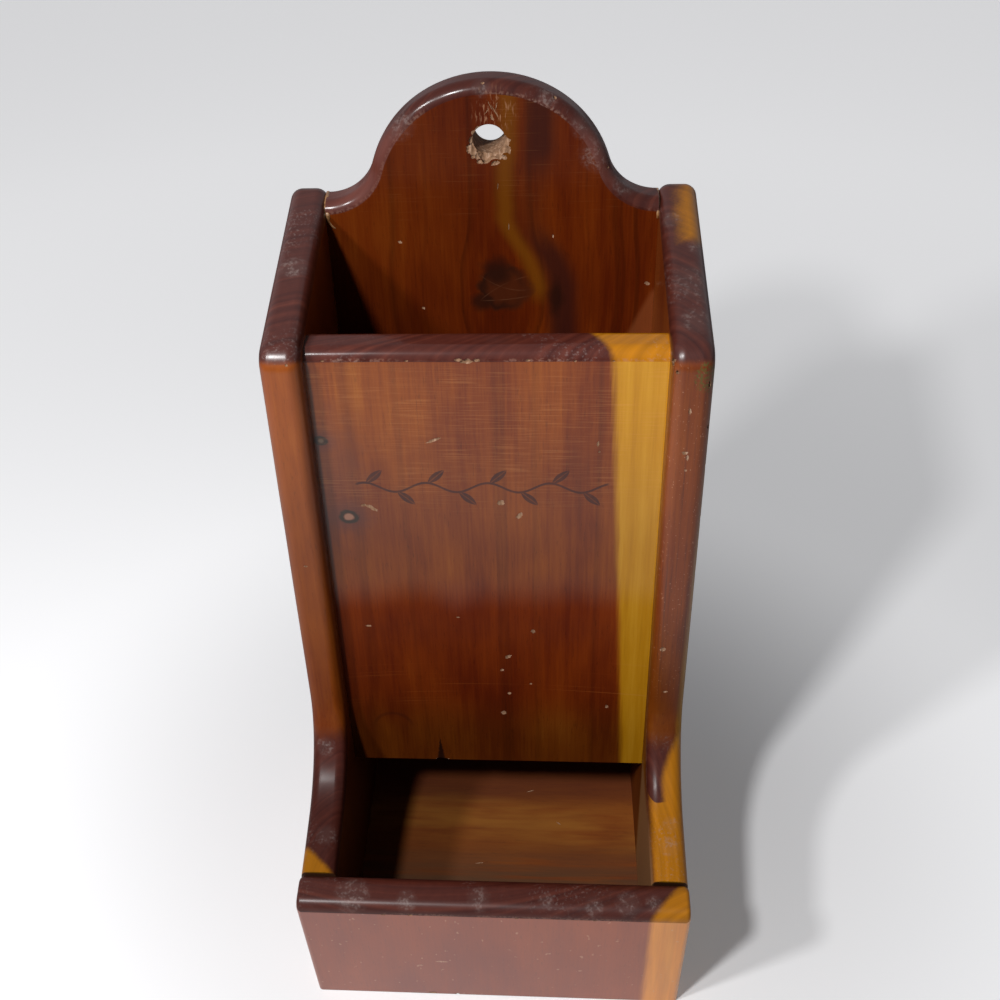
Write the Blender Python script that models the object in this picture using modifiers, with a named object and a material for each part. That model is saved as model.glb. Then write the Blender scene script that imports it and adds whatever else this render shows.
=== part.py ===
"""Wall match holder in eased cedar boards: a tall hopper over an open tray.

Metres, +Z up. The holder stands on Z = 0 with its front towards -Y, and the
origin is under the middle of its width and depth. Matches go in at the top,
between the back board and the front panel, and slide out into the tray.
"""
import math

import bmesh
import bpy

# The stock, and the room left in every joint between two boards
BOARD_THICKNESS = 0.0095
GLUE_LINE = 0.0003
EDGE_ROUND = 0.003

# The whole holder
HOLDER_WIDTH = 0.1016
HOLDER_HEIGHT = 0.2338
HOPPER_ROOM = 0.0365

# Back board: a round head between two hollow shoulders, with a hanging hole.
# The hollows run out at the board's edges, so the head's radius follows from them.
HEAD_RISE = 0.0306
SHOULDER_HOLLOW_RADIUS = 0.0127
HANGING_HOLE_DIAMETER = 0.0079
HANGING_HOLE_BELOW_TOP = 0.0144

# Front panel: let in between the sides, and stopped short above the tray
PANEL_BELOW_SHOULDER = 0.0142
PANEL_FOOT_HEIGHT = 0.050
PANEL_SETBACK = 0.0053

# Sides: a sloping top, an upright front edge and a hollow down to the tray rim.
# The rear height is where the sloping top would meet the rear without its corner round.
SIDE_ABOVE_SHOULDER = 0.0022
SIDE_TOP_SLOPE = math.radians(13.3)
SIDE_FRONT_CORNER_RADIUS = 0.006
SIDE_REAR_CORNER_RADIUS = 0.0036
SIDE_HOLLOW_RADIUS = 0.0243
TRAY_RIM_SLOPE = math.radians(13.1)
TRAY_RIM_HEIGHT = 0.0521

# Tray lip: a board across both side ends, leaning outwards
LIP_FOOT_REACH = 0.0979
LIP_FACE_HEIGHT = 0.0516
LIP_LEAN = math.radians(8.0)
LIP_END_ROUND = 0.001

# Wire brads that hold the sides to the boards between them
BRAD_LENGTH = 0.0254
BRAD_SHANK_DIAMETER = 0.0012
BRAD_HEAD_DIAMETER = 0.0021
BRAD_HEAD_HEIGHT = 0.0009
BRAD_TIP_LENGTH = 0.0015
BRAD_SET_DEPTH = 0.0006
BRAD_CLEARANCE = 0.0003
BACK_BRAD_HEIGHT_SHARES = (0.12, 0.50, 0.88)
PANEL_BRAD_HEIGHT_SHARES = (0.20, 0.80)
FLOOR_BRAD_DEPTH_SHARES = (0.22, 0.75)

# How far a cutter runs past the face that it opens
CUT_OVERRUN = 0.002

# Counts of segments in the round shapes
ROUND_SEGMENTS = 4
HEAD_SEGMENTS = 28
SMALL_ARC_SEGMENTS = 8
HOLE_SIDES = 32
BRAD_SIDES = 10
SMOOTH_ANGLE = math.radians(30)

# Places that follow from the sizes above
LIP_TOP_REACH = LIP_FOOT_REACH + LIP_FACE_HEIGHT * math.sin(LIP_LEAN)
LIP_ROUND_GIVE = EDGE_ROUND * (math.cos(LIP_LEAN) + math.sin(LIP_LEAN) - 1)
HOLDER_DEPTH = LIP_TOP_REACH - LIP_ROUND_GIVE
REAR_Y = HOLDER_DEPTH / 2
BACK_FRONT_Y = REAR_Y - BOARD_THICKNESS
PANEL_BACK_Y = BACK_FRONT_Y - HOPPER_ROOM
PANEL_FRONT_Y = PANEL_BACK_Y - BOARD_THICKNESS
SIDE_FRONT_Y = PANEL_FRONT_Y - PANEL_SETBACK
LIP_FOOT_Y = REAR_Y - LIP_FOOT_REACH
LIP_BACK_FOOT_Y = LIP_FOOT_Y + BOARD_THICKNESS / math.cos(LIP_LEAN)
INNER_HALF_WIDTH = HOLDER_WIDTH / 2 - BOARD_THICKNESS
BETWEEN_HALF_WIDTH = INNER_HALF_WIDTH - GLUE_LINE
SHOULDER_HEIGHT = HOLDER_HEIGHT - HEAD_RISE
PANEL_TOP_HEIGHT = SHOULDER_HEIGHT - PANEL_BELOW_SHOULDER
SIDE_REAR_HEIGHT = SHOULDER_HEIGHT + SIDE_ABOVE_SHOULDER
HEAD_RADIUS = (BETWEEN_HALF_WIDTH ** 2 + HEAD_RISE ** 2) / (2 * HEAD_RISE) - SHOULDER_HOLLOW_RADIUS
SIDE_MIDDLE_X = HOLDER_WIDTH / 2 - BOARD_THICKNESS / 2
BRAD_HEAD_X = HOLDER_WIDTH / 2 - BRAD_SET_DEPTH

# A point counts as lying on a line when it is closer than this share of a board
NEAR_SHARE = 0.01
NEAR = BOARD_THICKNESS * NEAR_SHARE

# Colours of the varnished boards and the brads: red, green, blue, roughness
HEARTWOOD = (0.27, 0.075, 0.022, 0.35)
WARM_HEARTWOOD = (0.36, 0.105, 0.028, 0.35)
DARK_HEARTWOOD = (0.17, 0.055, 0.035, 0.35)
FLOOR_HEARTWOOD = (0.22, 0.085, 0.030, 0.45)
BRAD_STEEL = (0.30, 0.28, 0.26, 0.45)


def clear_scene():
    for thing in list(bpy.data.objects):
        bpy.data.objects.remove(thing, do_unlink=True)


def new_collection(name):
    collection = bpy.data.collections.new(name)
    bpy.context.scene.collection.children.link(collection)
    return collection


def finish(name, colour, metallic=0.0):
    """A plain Principled material in one colour."""
    material = bpy.data.materials.new(name)
    material.use_nodes = True
    shader = material.node_tree.nodes["Principled BSDF"]
    shader.inputs["Base Color"].default_value = (*colour[:3], 1.0)
    shader.inputs["Roughness"].default_value = colour[3]
    shader.inputs["Metallic"].default_value = metallic
    return material


def arc(centre, radius, start, end, segments):
    """Points along an arc, from one angle to the other."""
    points = []
    for step in range(segments + 1):
        angle = start + (end - start) * step / segments
        points.append((centre[0] + radius * math.cos(angle), centre[1] + radius * math.sin(angle)))
    return points


def sawn_board(name, outline, thickness, location, rotation, colour, collection):
    """A board cut to an outline: a filled flat curve, extruded and made a mesh."""
    curve = bpy.data.curves.new(name + "_outline", "CURVE")
    curve.dimensions = "2D"
    curve.fill_mode = "BOTH"
    curve.extrude = thickness / 2
    spline = curve.splines.new("POLY")
    spline.points.add(len(outline) - 1)
    for point, (across, up) in zip(spline.points, outline):
        point.co = (across, up, 0, 1)
    spline.use_cyclic_u = True
    drawn = bpy.data.objects.new(name + "_outline", curve)
    collection.objects.link(drawn)
    drawn.location = location
    drawn.rotation_euler = rotation
    bpy.context.view_layer.update()

    evaluated = drawn.evaluated_get(bpy.context.evaluated_depsgraph_get())
    board = bpy.data.objects.new(name, bpy.data.meshes.new_from_object(evaluated))
    board.data.name = name
    board.matrix_world = drawn.matrix_world.copy()
    collection.objects.link(board)
    bpy.data.objects.remove(drawn, do_unlink=True)

    shape = bmesh.new()
    shape.from_mesh(board.data)
    bmesh.ops.remove_doubles(shape, verts=shape.verts, dist=NEAR)
    bmesh.ops.dissolve_limit(shape, angle_limit=math.radians(1), verts=shape.verts, edges=shape.edges)
    bmesh.ops.recalc_face_normals(shape, faces=shape.faces)
    shape.to_mesh(board.data)
    shape.free()
    board.data.materials.clear()
    board.data.materials.append(finish(name + "_finish", colour))
    return board


def ease_edges(board, radius, shows):
    """Rounds over the edges along a board's two faces where shows(across, up) is true."""
    shape = bmesh.new()
    shape.from_mesh(board.data)
    chosen = []
    for edge in shape.edges:
        first, second = (corner.co for corner in edge.verts)
        along_face = abs(first.z - second.z) < NEAR
        middle = (first + second) / 2
        if along_face and shows(middle.x, middle.y):
            chosen.append(edge)
    bmesh.ops.bevel(
        shape, geom=chosen, offset=radius, offset_type="OFFSET", segments=ROUND_SEGMENTS,
        profile=0.5, affect="EDGES", clamp_overlap=False)
    bmesh.ops.recalc_face_normals(shape, faces=shape.faces)
    shape.to_mesh(board.data)
    shape.free()


def shade(board):
    board.data.shade_smooth()
    board.data.set_sharp_from_angle(angle=SMOOTH_ANGLE)


def back_board_outline():
    """Half of the head and one shoulder, mirrored to the other side."""
    head_height = HOLDER_HEIGHT - HEAD_RADIUS
    hollow_height = SHOULDER_HEIGHT + SHOULDER_HOLLOW_RADIUS
    meeting_angle = math.atan2(hollow_height - head_height, BETWEEN_HALF_WIDTH)
    hollow = arc(
        (BETWEEN_HALF_WIDTH, hollow_height), SHOULDER_HOLLOW_RADIUS, -math.pi / 2,
        meeting_angle - math.pi, SMALL_ARC_SEGMENTS)
    head = arc(
        (0, head_height), HEAD_RADIUS, meeting_angle, math.pi - meeting_angle, HEAD_SEGMENTS)
    right = [(BETWEEN_HALF_WIDTH, 0)] + hollow
    left = [(-across, up) for across, up in reversed(right)]
    return right + head[1:-1] + left


def make_back_board(collection):
    upright = (math.pi / 2, 0, 0)
    board = sawn_board(
        "back_board", back_board_outline(), BOARD_THICKNESS,
        (0, REAR_Y - BOARD_THICKNESS / 2, 0), upright, WARM_HEARTWOOD, collection)

    def along_the_top(across, up):
        return up > SHOULDER_HEIGHT - NEAR

    ease_edges(board, EDGE_ROUND, along_the_top)
    return board


def side_outline():
    """The side seen from +X: depth along Y, height along Z."""
    rear_turn = math.pi / 2 + SIDE_TOP_SLOPE
    rear_run = SIDE_REAR_CORNER_RADIUS * math.tan(rear_turn / 2)
    rear_corner = arc(
        (REAR_Y - SIDE_REAR_CORNER_RADIUS, SIDE_REAR_HEIGHT - rear_run), SIDE_REAR_CORNER_RADIUS,
        0, rear_turn, SMALL_ARC_SEGMENTS)

    front_top_height = SIDE_REAR_HEIGHT - (REAR_Y - SIDE_FRONT_Y) * math.tan(SIDE_TOP_SLOPE)
    front_turn = math.pi / 2 - SIDE_TOP_SLOPE
    front_run = SIDE_FRONT_CORNER_RADIUS * math.tan(front_turn / 2)
    front_corner = arc(
        (SIDE_FRONT_Y + SIDE_FRONT_CORNER_RADIUS, front_top_height - front_run),
        SIDE_FRONT_CORNER_RADIUS, math.pi / 2 + SIDE_TOP_SLOPE, math.pi, SMALL_ARC_SEGMENTS)

    rim_end_y = LIP_BACK_FOOT_Y + GLUE_LINE - TRAY_RIM_HEIGHT * math.tan(LIP_LEAN)
    hollow_y = SIDE_FRONT_Y - SIDE_HOLLOW_RADIUS
    rim_height_below = TRAY_RIM_HEIGHT + (hollow_y - rim_end_y) * math.tan(TRAY_RIM_SLOPE)
    hollow_height = rim_height_below + SIDE_HOLLOW_RADIUS / math.cos(TRAY_RIM_SLOPE)
    hollow = arc(
        (hollow_y, hollow_height), SIDE_HOLLOW_RADIUS, 0,
        TRAY_RIM_SLOPE - math.pi / 2, SMALL_ARC_SEGMENTS)
    rim_end = (rim_end_y, TRAY_RIM_HEIGHT)
    foot_front = (LIP_BACK_FOOT_Y + GLUE_LINE, 0)
    return [(REAR_Y, 0)] + rear_corner + front_corner + hollow + [rim_end, foot_front]


def make_side(name, hand, collection):
    across = (math.pi / 2, 0, math.pi / 2)
    board = sawn_board(
        name, side_outline(), BOARD_THICKNESS, (hand * SIDE_MIDDLE_X, 0, 0), across,
        HEARTWOOD, collection)

    def in_the_open(depth, up):
        on_foot = up < NEAR
        lip_side = LIP_BACK_FOOT_Y + GLUE_LINE - up * math.tan(LIP_LEAN)
        on_lip = abs(depth - lip_side) < NEAR
        return not (on_foot or on_lip)

    ease_edges(board, EDGE_ROUND, in_the_open)
    return board


def make_front_panel(collection):
    outline = [
        (-BETWEEN_HALF_WIDTH, PANEL_FOOT_HEIGHT), (BETWEEN_HALF_WIDTH, PANEL_FOOT_HEIGHT),
        (BETWEEN_HALF_WIDTH, PANEL_TOP_HEIGHT), (-BETWEEN_HALF_WIDTH, PANEL_TOP_HEIGHT)]
    upright = (math.pi / 2, 0, 0)
    board = sawn_board(
        "front_panel", outline, BOARD_THICKNESS, (0, PANEL_BACK_Y - BOARD_THICKNESS / 2, 0),
        upright, WARM_HEARTWOOD, collection)

    def along_the_top(across, up):
        return up > PANEL_TOP_HEIGHT - NEAR

    ease_edges(board, EDGE_ROUND, along_the_top)
    return board


def make_tray_floor(collection):
    """The floor runs from the back board to the lip, and its front edge leans with the lip."""
    back = BACK_FRONT_Y - GLUE_LINE
    front = LIP_BACK_FOOT_Y + GLUE_LINE
    outline = [
        (back, 0), (back, BOARD_THICKNESS),
        (front - BOARD_THICKNESS * math.tan(LIP_LEAN), BOARD_THICKNESS), (front, 0)]
    across = (math.pi / 2, 0, math.pi / 2)
    return sawn_board(
        "tray_floor", outline, 2 * BETWEEN_HALF_WIDTH, (0, 0, 0), across, FLOOR_HEARTWOOD,
        collection)


def make_tray_lip(collection):
    """The lip's section, with its foot cut level, extruded over the whole width."""
    face_top = (
        LIP_FOOT_Y - LIP_FACE_HEIGHT * math.sin(LIP_LEAN), LIP_FACE_HEIGHT * math.cos(LIP_LEAN))
    back_top = (
        face_top[0] + BOARD_THICKNESS * math.cos(LIP_LEAN),
        face_top[1] + BOARD_THICKNESS * math.sin(LIP_LEAN))
    outline = [(LIP_FOOT_Y, 0), face_top, back_top, (LIP_BACK_FOOT_Y, 0)]
    across = (math.pi / 2, 0, math.pi / 2)
    board = sawn_board(
        "tray_lip", outline, HOLDER_WIDTH, (0, 0, 0), across, DARK_HEARTWOOD, collection)

    shape = bmesh.new()
    shape.from_mesh(board.data)
    top_edges = []
    for edge in shape.edges:
        runs_across = abs(edge.verts[0].co.z - edge.verts[1].co.z) > BOARD_THICKNESS
        if runs_across and edge.verts[0].co.y > LIP_FACE_HEIGHT / 2:
            top_edges.append(edge)
    bmesh.ops.bevel(
        shape, geom=top_edges, offset=EDGE_ROUND, offset_type="OFFSET",
        segments=ROUND_SEGMENTS, profile=0.5, affect="EDGES", clamp_overlap=False)
    shape.to_mesh(board.data)
    shape.free()

    def on_the_ends(depth, up):
        return up > NEAR

    ease_edges(board, LIP_END_ROUND, on_the_ends)
    return board


def brad_profile(clearance, head_top):
    """Radius and height down a brad's outer side, its head's top face at head_top."""
    head = BRAD_HEAD_DIAMETER / 2 + clearance
    shank = BRAD_SHANK_DIAMETER / 2 + clearance
    under_head = -BRAD_HEAD_HEIGHT - clearance
    return [
        (0, head_top), (head, head_top), (head, under_head), (shank, under_head),
        (shank, BRAD_TIP_LENGTH - BRAD_LENGTH - clearance), (0, -BRAD_LENGTH - clearance)]


def turned(name, profile, collection):
    """A profile of vertices and edges, spun about Z by a Screw modifier."""
    mesh = bpy.data.meshes.new(name)
    points = [(radius, 0, height) for radius, height in profile]
    mesh.from_pydata(points, [(i, i + 1) for i in range(len(points) - 1)], [])
    thing = bpy.data.objects.new(name, mesh)
    collection.objects.link(thing)
    spin = thing.modifiers.new("Screw", "SCREW")
    spin.steps = BRAD_SIDES
    spin.render_steps = BRAD_SIDES
    spin.use_merge_vertices = True
    spin.merge_threshold = BRAD_CLEARANCE / 10
    spin.use_smooth_shade = True
    return thing


def brad_places():
    """Name, depth and height of each brad in one side."""
    places = []
    for number, share in enumerate(BACK_BRAD_HEIGHT_SHARES, 1):
        places.append((f"back_brad_{number}", BACK_FRONT_Y + BOARD_THICKNESS / 2, SHOULDER_HEIGHT * share))
    panel_height = PANEL_TOP_HEIGHT - PANEL_FOOT_HEIGHT
    for number, share in enumerate(PANEL_BRAD_HEIGHT_SHARES, 1):
        places.append((
            f"panel_brad_{number}", PANEL_FRONT_Y + BOARD_THICKNESS / 2,
            PANEL_FOOT_HEIGHT + panel_height * share))
    floor_run = BACK_FRONT_Y - LIP_BACK_FOOT_Y
    for number, share in enumerate(FLOOR_BRAD_DEPTH_SHARES, 1):
        places.append((f"floor_brad_{number}", BACK_FRONT_Y - floor_run * share, BOARD_THICKNESS / 2))
    return places


def drive_brads(side_name, hand, holder, cutters):
    """Brads through one side, and the bores that clear them."""
    steel = finish(side_name + "_brad_steel", BRAD_STEEL, metallic=1.0)
    for name, depth, height in brad_places():
        brad = turned(f"{side_name}_{name}", brad_profile(0, 0), holder)
        brad.data.materials.append(steel)
        bore = turned(
            f"{side_name}_{name}_bore", brad_profile(BRAD_CLEARANCE, BRAD_SET_DEPTH + CUT_OVERRUN), cutters)
        for thing in (brad, bore):
            thing.location = (hand * BRAD_HEAD_X, depth, height)
            thing.rotation_euler = (0, hand * math.pi / 2, 0)


def make_hanging_hole_cutter(cutters):
    shape = bmesh.new()
    bmesh.ops.create_cone(
        shape, cap_ends=True, segments=HOLE_SIDES, radius1=HANGING_HOLE_DIAMETER / 2,
        radius2=HANGING_HOLE_DIAMETER / 2, depth=BOARD_THICKNESS + 2 * CUT_OVERRUN)
    mesh = bpy.data.meshes.new("hanging_hole")
    shape.to_mesh(mesh)
    shape.free()
    cutter = bpy.data.objects.new("hanging_hole", mesh)
    cutter.location = (
        0, REAR_Y - BOARD_THICKNESS / 2, HOLDER_HEIGHT - HANGING_HOLE_BELOW_TOP)
    cutter.rotation_euler = (math.pi / 2, 0, 0)
    cutters.objects.link(cutter)


def cut(board, cutters):
    """Takes every cutter of a collection out of a board."""
    modifier = board.modifiers.new("Bores", "BOOLEAN")
    modifier.operation = "DIFFERENCE"
    modifier.operand_type = "COLLECTION"
    modifier.collection = cutters
    modifier.solver = "EXACT"


def main():
    clear_scene()
    holder = new_collection("wall_match_holder")
    bores = new_collection("bores")
    boards = [
        make_back_board(holder),
        make_side("left_side", -1, holder),
        make_side("right_side", 1, holder),
        make_front_panel(holder),
        make_tray_floor(holder),
        make_tray_lip(holder),
    ]
    drive_brads("left", -1, holder, bores)
    drive_brads("right", 1, holder, bores)
    make_hanging_hole_cutter(bores)
    for cutter in bores.objects:
        cutter.hide_render = True
        cutter.display_type = "WIRE"
    bored = [board for board in boards if board.name != "tray_lip"]
    for board in bored:
        cut(board, bores)
    for board in boards:
        shade(board)


main()
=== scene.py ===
"""Wall match holder in varnished red cedar: its boards, their wear, and a plain studio. Metres, +Z up."""
import math

import bmesh
import bpy
from mathutils import Matrix, Vector, noise


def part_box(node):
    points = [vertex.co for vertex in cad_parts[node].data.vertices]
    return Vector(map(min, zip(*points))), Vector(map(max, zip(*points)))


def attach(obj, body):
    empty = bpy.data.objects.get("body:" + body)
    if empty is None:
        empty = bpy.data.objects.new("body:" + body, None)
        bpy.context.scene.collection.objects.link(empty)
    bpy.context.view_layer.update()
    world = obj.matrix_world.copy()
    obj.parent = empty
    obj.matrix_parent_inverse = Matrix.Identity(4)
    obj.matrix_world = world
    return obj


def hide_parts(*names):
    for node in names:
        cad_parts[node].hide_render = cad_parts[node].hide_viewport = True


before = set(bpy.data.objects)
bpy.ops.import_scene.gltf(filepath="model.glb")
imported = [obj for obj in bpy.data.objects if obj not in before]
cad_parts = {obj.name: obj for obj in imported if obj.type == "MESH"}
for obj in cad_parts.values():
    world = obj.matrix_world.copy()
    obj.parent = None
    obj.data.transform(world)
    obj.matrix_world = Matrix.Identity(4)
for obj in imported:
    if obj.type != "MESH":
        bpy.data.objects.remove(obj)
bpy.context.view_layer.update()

# The boards are uneven in the same way in every run
noise.seed_set(48)

# Sizes of the boards, as in the part
BOARD = 0.0095
GLUE_LINE = 0.0003
EASE = 0.003
HEAD_RISE = 0.0306
SHOULDER_HOLLOW = 0.0127
HOLE_RADIUS = 0.00395
HOLE_BELOW_TOP = 0.0144
SIDE_SETBACK = 0.0053
SIDE_ABOVE_SHOULDER = 0.0022
SIDE_TOP_SLOPE = math.radians(13.3)
SIDE_FRONT_CORNER = 0.006
SIDE_REAR_CORNER = 0.0036
SIDE_HOLLOW = 0.0243
RIM_SLOPE = math.radians(13.1)
RIM_HEIGHT = 0.0521
LIP_FACE = 0.0516
LIP_LEAN = math.radians(8.0)
LIP_END_EASE = 0.0012

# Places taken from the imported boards
back_low, back_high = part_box("back_board")
side_low, side_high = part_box("right_side")
panel_low, panel_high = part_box("front_panel")
floor_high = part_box("tray_floor")[1]
lip_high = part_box("tray_lip")[1]
REAR = back_high.y
BACK_FRONT = back_low.y
TOP = back_high.z
PANEL_FRONT = panel_low.y
SIDE_FRONT = PANEL_FRONT - SIDE_SETBACK
SHOULDER_HEIGHT = TOP - HEAD_RISE
SIDE_REAR_HEIGHT = SHOULDER_HEIGHT + SIDE_ABOVE_SHOULDER
HALF_WIDTH = side_high.x
INNER = side_low.x
LIP_BACK_FOOT = lip_high.y
LIP_FOOT = LIP_BACK_FOOT - BOARD / math.cos(LIP_LEAN)
HOLE_HEIGHT = TOP - HOLE_BELOW_TOP
MM = 0.001
TINY = 0.00002

# Marks on the boards: places across and up, and sizes
KNOT = (0.0030, 0.1790)
KNOT_SIZE = (0.0068, 0.0064)
FAINT_KNOT = (-0.0290, 0.0640)
FAINT_KNOT_RADIUS = 0.0052
CHECK_ACROSS = -0.0161
CHECK_TOP = 0.0592
SPRIG_START = -0.034
SPRIG_HEIGHT = 0.1500
SPRIG_WAVE = 0.0150
STEM_SWING = 0.0014
LEAF_WIDTH = 0.00115
LEAF_LENGTH = 0.0031


# Materials


class Value:
    """A socket that takes part in sums; an expression on it adds Math nodes."""

    def __init__(self, finish, socket):
        self.finish = finish
        self.socket = socket

    def maths(self, operation, first, second=0.0):
        return self.finish.node(
            "ShaderNodeMath", {"operation": operation}, {0: first, 1: second})

    def __add__(self, other):
        return self.maths("ADD", self, other)

    __radd__ = __add__

    def __sub__(self, other):
        return self.maths("SUBTRACT", self, other)

    def __rsub__(self, other):
        return self.maths("SUBTRACT", other, self)

    def __mul__(self, other):
        return self.maths("MULTIPLY", self, other)

    __rmul__ = __mul__

    def __truediv__(self, other):
        return self.maths("DIVIDE", self, other)

    def __rtruediv__(self, other):
        return self.maths("DIVIDE", other, self)

    def __abs__(self):
        return self.maths("ABSOLUTE", self)

    def root(self):
        return self.maths("SQRT", self)

    def squared(self):
        return self * self

    def sine(self):
        return self.maths("SINE", self)

    def within(self, period):
        """The rest after whole periods, never negative."""
        return self.maths("FLOORED_MODULO", self, period)

    def most(self, other):
        return self.maths("MAXIMUM", self, other)

    def least(self, other):
        return self.maths("MINIMUM", self, other)

    def rise(self, low, high):
        """0 below low and 1 above high, with a smooth way between; falls when low is above high."""
        return self.finish.node(
            "ShaderNodeMapRange", {"interpolation_type": "SMOOTHSTEP"},
            {"Value": self, "From Min": low, "From Max": high})


class Finish:
    """One material, with its Principled shader, its places and its nodes."""

    def __init__(self, name):
        self.material = bpy.data.materials.new(name)
        self.material.use_nodes = True
        self.tree = self.material.node_tree
        self.shader = self.tree.nodes["Principled BSDF"]
        self.place = self.node("ShaderNodeTexCoord", output="Object")
        self.x, self.y, self.z = self.split(self.place)

    def node(self, kind, settings=None, values=None, output=0, stops=None):
        made = self.tree.nodes.new(kind)
        for name, setting in (settings or {}).items():
            setattr(made, name, setting)
        if stops:
            ramp = made.color_ramp
            while len(ramp.elements) < len(stops):
                ramp.elements.new(1.0)
            for element, (position, colour) in zip(ramp.elements, stops):
                element.position = position
                element.color = (*colour, 1.0)
        for name, value in (values or {}).items():
            if isinstance(value, Value):
                self.tree.links.new(value.socket, made.inputs[name])
            else:
                made.inputs[name].default_value = value
        return Value(self, made.outputs[output])

    def split(self, vector):
        made = self.tree.nodes.new("ShaderNodeSeparateXYZ")
        self.tree.links.new(vector.socket, made.inputs[0])
        return [Value(self, socket) for socket in made.outputs]

    def join(self, x, y, z):
        return self.node("ShaderNodeCombineXYZ", values={0: x, 1: y, 2: z})

    def speckle(self, x, y, z, detail=2.0):
        """Noise about 0.5 over scaled places."""
        return self.node(
            "ShaderNodeTexNoise", {"noise_dimensions": "3D"},
            {"Vector": self.join(x, y, z), "Scale": 1.0, "Detail": detail, "Roughness": 0.55})

    def lines(self, along, detail=2.0):
        """Noise about 0.5 that changes along one scaled value only."""
        return self.node(
            "ShaderNodeTexNoise", {"noise_dimensions": "1D"},
            {"W": along, "Scale": 1.0, "Detail": detail, "Roughness": 0.55})

    def ramp(self, value, stops):
        return self.node("ShaderNodeValToRGB", values={"Fac": value}, stops=stops)

    def mix(self, share, first, second):
        """From the first colour to the second as share goes from 0 to 1."""
        first, second = [c if isinstance(c, Value) else (*c, 1.0) for c in (first, second)]
        return self.node(
            "ShaderNodeMix", {"data_type": "RGBA"}, {0: share, 6: first, 7: second}, output=2)

    def shaded(self, colour, level, tint=None):
        """A colour made darker or lighter by a number, and turned towards a tint."""
        red, green, blue = [level * part for part in tint] if tint else (level, level, level)
        shade = self.node("ShaderNodeCombineColor", values={0: red, 1: green, 2: blue})
        return self.node(
            "ShaderNodeMix", {"data_type": "RGBA", "blend_type": "MULTIPLY"},
            {0: 1.0, 6: colour, 7: shade}, output=2)

    def stain(self, share, tint):
        """Turns the colour so far into a tint, as share goes from 0 to 1."""
        self.colour = self.mix(share, self.colour, tint)

    def shade(self, level, tint=None):
        """Makes the colour so far darker or lighter, and may turn it towards a tint."""
        self.colour = self.shaded(self.colour, level, tint)

    def set(self, **sockets):
        for name, value in sockets.items():
            socket = self.shader.inputs[name.replace("_", " ")]
            if isinstance(value, Value):
                self.tree.links.new(value.socket, socket)
            else:
                socket.default_value = value

    def bump(self, height, distance, strength):
        self.set(Normal=self.node(
            "ShaderNodeBump", values={"Height": height, "Distance": distance, "Strength": strength},
            output="Normal"))


HEARTWOOD = [
    (0.00, (0.060, 0.0090, 0.0015)), (0.35, (0.122, 0.0205, 0.0015)),
    (0.62, (0.190, 0.0420, 0.0025)), (1.00, (0.280, 0.0850, 0.0080))]
SAPWOOD = [
    (0.00, (0.300, 0.1150, 0.0010)), (0.50, (0.430, 0.1900, 0.0050)), (1.00, (0.540, 0.2750, 0.0200))]
END_GRAIN = [
    (0.25, (0.034, 0.0060, 0.0040)), (0.55, (0.062, 0.0130, 0.0080)), (0.85, (0.110, 0.0260, 0.0150))]
END_SAPWOOD = (0.36, 0.130, 0.002)
KNOT_CORE = (0.016, 0.004, 0.002)
BURNT = (0.030, 0.007, 0.005)
SCUFF = (0.34, 0.28, 0.26)
PURPLE = (0.075, 0.024, 0.020)
PAINTED_LIP_SHADOW = (0.045, 0.017, 0.008)
RAW_WOOD = [(0.25, (0.110, 0.052, 0.024)), (0.55, (0.27, 0.150, 0.085)), (0.85, (0.56, 0.40, 0.30))]


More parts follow.
